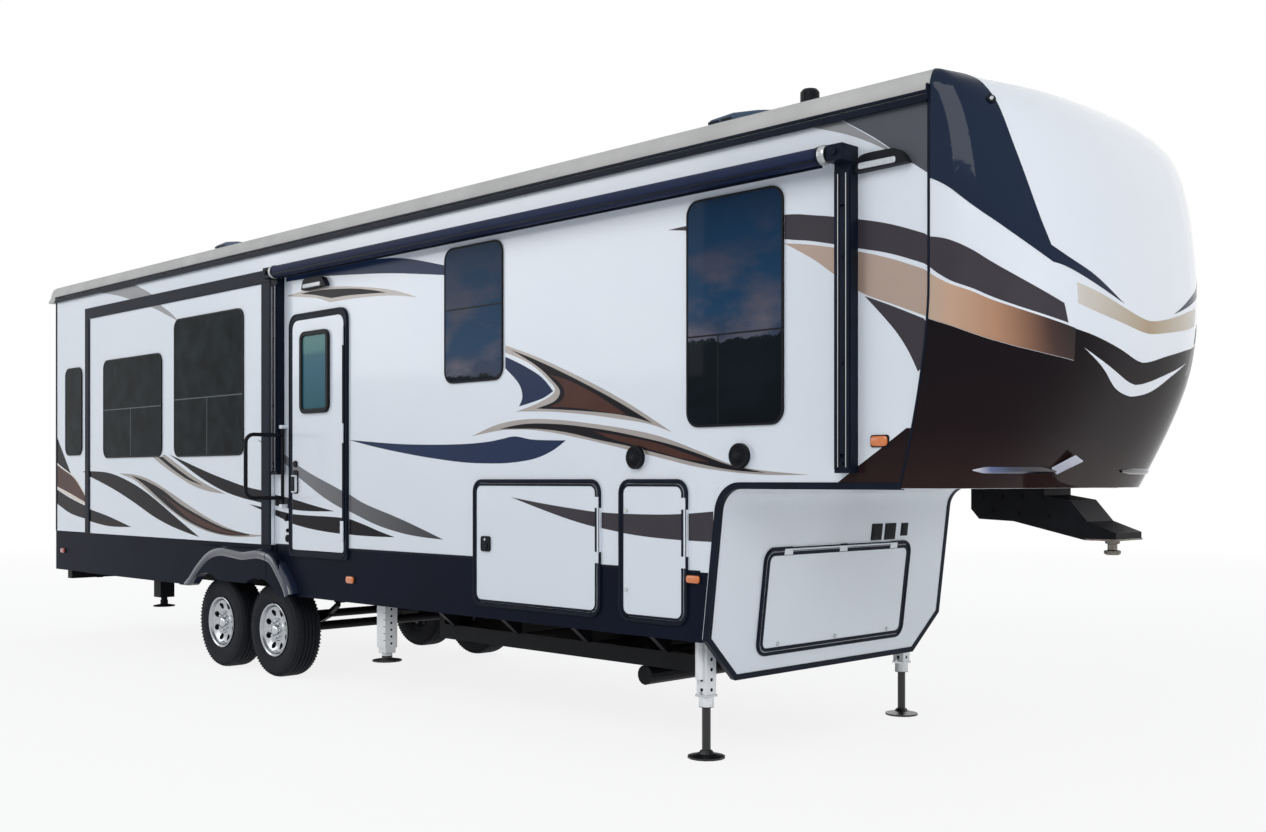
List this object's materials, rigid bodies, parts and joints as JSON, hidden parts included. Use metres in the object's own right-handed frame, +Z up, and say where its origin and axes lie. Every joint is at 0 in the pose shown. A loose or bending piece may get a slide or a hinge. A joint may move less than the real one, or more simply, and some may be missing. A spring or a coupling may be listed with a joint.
{
  "type": "fifth wheel travel trailer",
  "caption": "Fifth wheel travel trailer with raised nose, tandem axle, slide-out rooms, hinged doors, roller awning and jacks, parked unhitched.",
  "frame": {"origin": "on the ground under the middle of the body, midway between the side walls and within 40 mm of midway along its length", "axes": "+X towards the nose and its kingpin, +Y towards the road side, -Y towards the door side, +Z up"},
  "size_m": [11.4855, 2.9037, 4.0353],
  "materials": {
    "white_gelcoat": "glossy bluish-white gelcoat",
    "navy_skirt": "satin near-black navy paint",
    "grey_roof": "light grey roof membrane and edge trim",
    "black_trim": "satin black trim",
    "tinted_glass": "dark tinted glass",
    "black_steel": "satin black painted steel",
    "white_steel": "white painted steel",
    "tyre_rubber": "black rubber",
    "wheel_alloy": "machined aluminium",
    "bright_alloy": "brushed aluminium tube",
    "navy_fabric": "dark navy awning cloth on its roller",
    "floor_board": "coated board floor"
  },
  "bodies": {
    "trailer_body": {"air_conditioner_front": "black_trim", "air_conditioner_rear": "black_trim", "awning_arm_front": "black_trim", "awning_arm_rear": "black_trim", "awning_roller": "navy_fabric", "axle_front": "black_steel", "axle_rear": "black_steel", "chassis_frame": "black_steel", "entry_door_frame": "black_trim", "front_cap": "white_gelcoat", "jack_front_door_side": "white_steel", "jack_front_road_side": "white_steel", "jack_middle_door_side": "white_steel", "jack_middle_road_side": "white_steel", "jack_rear_door_side": "black_steel", "jack_rear_road_side": "black_steel", "main_floor": "floor_board", "pin_box": "black_steel", "rear_ladder": "bright_alloy", "rear_wall": "white_gelcoat", "roof": "grey_roof", "roof_vent": "black_trim", "skirt_front_door_side": "navy_skirt", "skirt_front_road_side": "navy_skirt", "skirt_rear": "navy_skirt", "storage_front_wall": "white_gelcoat", "upper_floor": "floor_board", "wall_door_side": "white_gelcoat", "wall_road_side": "white_gelcoat", "window_front_door_side": "tinted_glass", "window_front_road_side": "tinted_glass", "window_middle_door_side": "tinted_glass", "window_rear": "tinted_glass", "window_rear_door_side": "tinted_glass"},
    "slide_room_door_side": {"slide_room_door_side": "white_gelcoat", "slide_skirt_door_side": "navy_skirt", "slide_window_front_door_side": "tinted_glass", "slide_window_rear_door_side": "tinted_glass"},
    "slide_room_road_side": {"slide_room_road_side": "white_gelcoat", "slide_skirt_road_side": "navy_skirt", "slide_window_front_road_side": "tinted_glass"},
    "entry_door": {"entry_door": "white_gelcoat", "entry_door_glass": "tinted_glass"},
    "grab_handle": {"grab_handle": "black_steel"},
    "baggage_door_large_door_side": {"baggage_door_large_door_side": "white_gelcoat"},
    "baggage_door_small_door_side": {"baggage_door_small_door_side": "white_gelcoat"},
    "baggage_door_large_road_side": {"baggage_door_large_road_side": "white_gelcoat"},
    "front_hatch": {"front_hatch": "white_gelcoat"},
    "wheel_front_door_side": {"tyre_front_door_side": "tyre_rubber", "wheel_front_door_side": "wheel_alloy"},
    "wheel_front_road_side": {"tyre_front_road_side": "tyre_rubber", "wheel_front_road_side": "wheel_alloy"},
    "wheel_rear_door_side": {"tyre_rear_door_side": "tyre_rubber", "wheel_rear_door_side": "wheel_alloy"},
    "wheel_rear_road_side": {"tyre_rear_road_side": "tyre_rubber", "wheel_rear_road_side": "wheel_alloy"}
  },
  "joints": [
    {"name": "slide_out_door_side", "type": "slide", "parent": "trailer_body", "child": "slide_room_door_side", "axis": [0, -1, 0], "range_m": [0, 0.85]},
    {"name": "slide_out_road_side", "type": "slide", "parent": "trailer_body", "child": "slide_room_road_side", "axis": [0, 1, 0], "range_m": [0, 0.85]},
    {"name": "entry_door_hinge", "type": "hinge", "parent": "trailer_body", "child": "entry_door", "pos_m": [-0.06, -1.247, 1.03], "axis": [0, 0, 1], "range_deg": [0, 150]},
    {"name": "grab_handle_swing", "type": "hinge", "parent": "trailer_body", "child": "grab_handle", "pos_m": [-0.93, -1.254, 1.45], "axis": [0, 0, -1], "range_deg": [-85, 0]},
    {"name": "baggage_hinge_large_door_side", "type": "hinge", "parent": "trailer_body", "child": "baggage_door_large_door_side", "pos_m": [2.762, -1.234, 1.22], "axis": [0, 0, 1], "range_deg": [0, 110]},
    {"name": "baggage_hinge_small_door_side", "type": "hinge", "parent": "trailer_body", "child": "baggage_door_small_door_side", "pos_m": [3.492, -1.234, 1.22], "axis": [0, 0, 1], "range_deg": [0, 110]},
    {"name": "baggage_hinge_large_road_side", "type": "hinge", "parent": "trailer_body", "child": "baggage_door_large_road_side", "pos_m": [2.762, 1.234, 1.22], "axis": [0, 0, -1], "range_deg": [0, 110]},
    {"name": "front_hatch_hinge", "type": "hinge", "parent": "trailer_body", "child": "front_hatch", "pos_m": [3.72776, 0, 1.22535], "axis": [0, -1, 0], "range_deg": [0, 95]},
    {"name": "wheel_spin_front_door_side", "type": "hinge", "parent": "trailer_body", "child": "wheel_front_door_side", "pos_m": [-1.236, -1.0475, 0.395], "axis": [0, 1, 0], "continuous": true},
    {"name": "wheel_spin_front_road_side", "type": "hinge", "parent": "trailer_body", "child": "wheel_front_road_side", "pos_m": [-1.236, 1.0475, 0.395], "axis": [0, 1, 0], "continuous": true},
    {"name": "wheel_spin_rear_door_side", "type": "hinge", "parent": "trailer_body", "child": "wheel_rear_door_side", "pos_m": [-2.125, -1.0475, 0.395], "axis": [0, 1, 0], "continuous": true},
    {"name": "wheel_spin_rear_road_side", "type": "hinge", "parent": "trailer_body", "child": "wheel_rear_road_side", "pos_m": [-2.125, 1.0475, 0.395], "axis": [0, 1, 0], "continuous": true}
  ]
}
